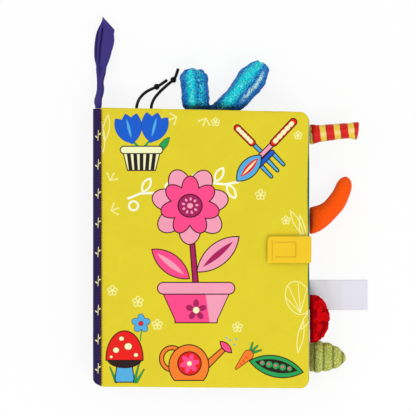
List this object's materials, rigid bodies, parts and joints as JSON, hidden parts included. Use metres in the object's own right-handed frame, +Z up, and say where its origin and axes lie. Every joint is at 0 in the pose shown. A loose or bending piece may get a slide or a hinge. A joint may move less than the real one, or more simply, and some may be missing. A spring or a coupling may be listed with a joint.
{
  "type": "cloth activity book",
  "caption": "Padded cloth book for a baby with soft crinkle pages, stuffed tails, a label and knotted cords sewn to its edges, a hanging loop at the spine and a strap that holds it closed.",
  "frame": {"origin": "middle of the back cover's flat under face, on the surface that the closed book lies on", "axes": "+X towards the fore-edge, +Y towards the head of the pages, +Z up through the front cover"},
  "size_m": [0.2279, 0.3073, 0.0305],
  "materials": {
    "cover_cloth": "printed cotton",
    "page_cloth": "printed cotton",
    "spine_cloth": "printed cotton",
    "loop_cloth": "satin weave",
    "strap_cloth": "cotton",
    "wadding": "polyester fibre",
    "crinkle_film": "thin film",
    "hook_and_loop": "hook and loop tape",
    "satin_label": "satin",
    "foil_cloth": "iridescent foil",
    "striped_satin": "satin",
    "orange_fleece": "fleece",
    "red_plush": "plush",
    "green_corduroy": "corduroy",
    "black_cord": "braided cord"
  },
  "bodies": {
    "back_cover": {"back_cover_cloth": "cover_cloth", "back_cover_lining": "page_cloth", "back_cover_wadding": "wadding", "back_cover_crinkle_film": "crinkle_film", "back_spine_margin": "spine_cloth"},
    "spine": {"spine_cloth": "spine_cloth", "spine_wadding": "wadding", "spine_lining": "spine_cloth", "hanging_loop_sewn_end": "loop_cloth"},
    "front_cover": {"front_cover_cloth": "cover_cloth", "front_cover_lining": "page_cloth", "front_cover_wadding": "wadding", "front_cover_crinkle_film": "crinkle_film", "front_spine_margin": "spine_cloth", "loop_patch": "hook_and_loop"},
    "leaf_1": {"leaf_1_front_cloth": "page_cloth", "leaf_1_back_cloth": "page_cloth", "leaf_1_wadding": "wadding", "leaf_1_crinkle_film": "crinkle_film"},
    "leaf_2": {"leaf_2_front_cloth": "page_cloth", "leaf_2_back_cloth": "page_cloth", "leaf_2_wadding": "wadding", "leaf_2_crinkle_film": "crinkle_film", "antenna_short_cord": "black_cord", "antenna_short_knot": "black_cord", "antenna_long_cord": "black_cord", "antenna_long_knot": "black_cord"},
    "leaf_3": {"leaf_3_front_cloth": "page_cloth", "leaf_3_back_cloth": "page_cloth", "leaf_3_wadding": "wadding", "leaf_3_crinkle_film": "crinkle_film"},
    "strap_riser": {"strap_riser": "strap_cloth"},
    "strap_flap": {"strap_flap": "strap_cloth", "hook_patch": "hook_and_loop"},
    "label": {"label": "satin_label"},
    "hanging_loop": {"hanging_loop": "loop_cloth"},
    "wings": {"wings_skin": "foil_cloth", "wings_stuffing": "wadding"},
    "striped_tail": {"striped_tail_skin": "striped_satin", "striped_tail_stuffing": "wadding"},
    "orange_tail": {"orange_tail_skin": "orange_fleece", "orange_tail_stuffing": "wadding"},
    "red_tail": {"red_tail_skin": "red_plush", "red_tail_stuffing": "wadding"},
    "green_tail": {"green_tail_skin": "green_corduroy", "green_tail_stuffing": "wadding"}
  },
  "joints": [
    {"name": "book_opening", "type": "hinge", "parent": "back_cover", "child": "spine", "pos_m": [-0.0879, 0, 0.0015], "axis": [0, -1, 0], "range_deg": [0, 90]},
    {"name": "front_cover_fold", "type": "hinge", "parent": "spine", "child": "front_cover", "pos_m": [-0.0879, 0, 0.0253], "axis": [0, -1, 0], "range_deg": [0, 90]},
    {"name": "leaf_1_fold", "type": "hinge", "parent": "spine", "child": "leaf_1", "pos_m": [-0.08455, 0, 0.0182], "axis": [0, -1, 0], "range_deg": [0, 45]},
    {"name": "leaf_2_fold", "type": "hinge", "parent": "spine", "child": "leaf_2", "pos_m": [-0.08455, 0, 0.0134], "axis": [0, -1, 0], "range_deg": [-9, 0]},
    {"name": "leaf_3_fold", "type": "hinge", "parent": "spine", "child": "leaf_3", "pos_m": [-0.08455, 0, 0.0086], "axis": [0, -1, 0], "range_deg": [-45, 0]},
    {"name": "strap_edge_fold", "type": "hinge", "parent": "back_cover", "child": "strap_riser", "pos_m": [0.0897, -0.0022, 0.003], "axis": [0, 1, 0], "range_deg": [0, 90], "deforming": ["strap_riser"]},
    {"name": "strap_top_fold", "type": "hinge", "parent": "strap_riser", "child": "strap_flap", "pos_m": [0.0903, -0.0022, 0.0288], "axis": [0, 1, 0], "range_deg": [0, 90], "deforming": ["strap_flap", "hook_patch"]},
    {"name": "label_flex", "type": "hinge", "parent": "back_cover", "child": "label", "pos_m": [0.08935, -0.04, 0.003], "axis": [0, -1, 0], "range_deg": [-45, 15]},
    {"name": "hanging_loop_swing", "type": "hinge", "parent": "spine", "child": "hanging_loop", "pos_m": [-0.087, 0.11455, 0.0134], "axis": [0, 0, 1], "range_deg": [-25, 25]},
    {"name": "wings_flex", "type": "hinge", "parent": "leaf_2", "child": "wings", "pos_m": [0.0104, 0.1129, 0.0134], "axis": [1, 0, 0], "range_deg": [-25, 25]},
    {"name": "striped_tail_flex", "type": "hinge", "parent": "leaf_1", "child": "striped_tail", "pos_m": [0.08975, 0.0934, 0.0182], "axis": [0, -1, 0], "range_deg": [-30, 30]},
    {"name": "orange_tail_flex", "type": "hinge", "parent": "leaf_3", "child": "orange_tail", "pos_m": [0.08975, 0.0214, 0.0086], "axis": [0, -1, 0], "range_deg": [-25, 25]},
    {"name": "red_tail_flex", "type": "hinge", "parent": "leaf_1", "child": "red_tail", "pos_m": [0.08975, -0.0593, 0.0182], "axis": [0, -1, 0], "range_deg": [-15, 25]},
    {"name": "green_tail_flex", "type": "hinge", "parent": "leaf_3", "child": "green_tail", "pos_m": [0.08975, -0.0904, 0.0086], "axis": [0, -1, 0], "range_deg": [-25, 25]}
  ],
  "couplings": [
    {"joint": "front_cover_fold", "follows": "book_opening", "ratio": 1},
    {"joint": "leaf_1_fold", "follows": "book_opening", "ratio": 0.5},
    {"joint": "leaf_2_fold", "follows": "book_opening", "ratio": -0.1},
    {"joint": "leaf_3_fold", "follows": "book_opening", "ratio": -0.5},
    {"joint": "strap_edge_fold", "follows": "book_opening", "ratio": 1},
    {"joint": "strap_top_fold", "follows": "book_opening", "ratio": 1}
  ]
}
